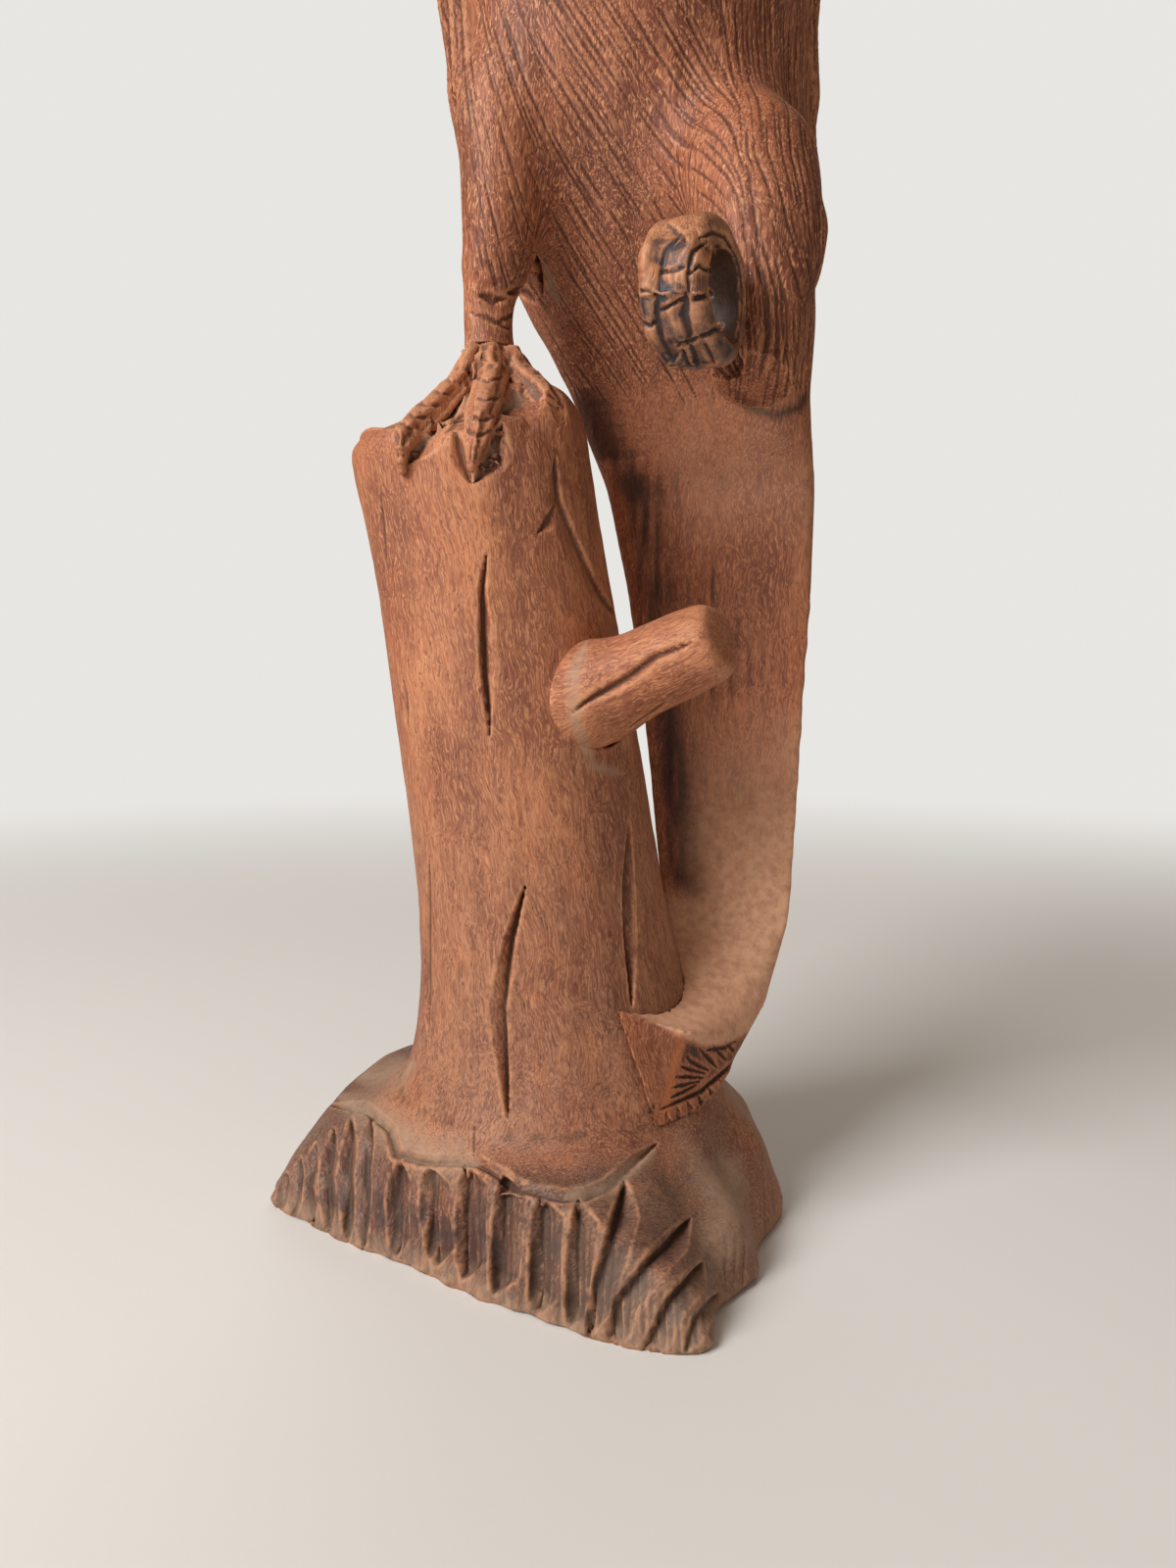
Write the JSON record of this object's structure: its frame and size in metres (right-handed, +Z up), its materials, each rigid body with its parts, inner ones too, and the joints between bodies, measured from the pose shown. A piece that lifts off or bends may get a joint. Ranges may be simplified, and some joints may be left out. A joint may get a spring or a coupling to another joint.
{
  "type": "wooden bird figurine",
  "caption": "Carved hardwood bird on a leaning tree stump, one foot gripping the top and the other clenched, its long tail curling down beside the stump's root base.",
  "frame": {"origin": "centre of the flat underside of the root base, on the surface that the figurine stands on", "axes": "+Z up, -Y the way the bird faces, +X towards the bird's left side"},
  "size_m": [0.1386, 0.1405, 0.4421],
  "materials": {
    "carved_wood": "dry carved reddish-brown hardwood with open pores",
    "dark_wood": "stained blue-black over orange-brown, worn",
    "eye_wood": "polished dark inlay",
    "dowel_wood": "plain pale dowel"
  },
  "bodies": {
    "root": {"root_base": "carved_wood", "stump": "carved_wood", "branch_stub": "carved_wood", "perch_foot": "carved_wood", "perch_leg": "carved_wood", "body": "carved_wood", "raised_thigh": "carved_wood", "left_wing": "carved_wood", "right_wing": "carved_wood", "head": "carved_wood", "tail": "carved_wood", "tail_tip": "carved_wood", "clenched_foot": "dark_wood", "upper_beak": "dark_wood", "lower_beak": "dark_wood", "left_eye": "eye_wood", "right_eye": "eye_wood", "stump_dowel_left": "dowel_wood", "stump_dowel_right": "dowel_wood", "ankle_dowel": "dowel_wood", "neck_dowel": "dowel_wood", "tail_dowel": "dowel_wood", "left_wing_dowel": "dowel_wood", "right_wing_dowel": "dowel_wood"}
  },
  "joints": []
}
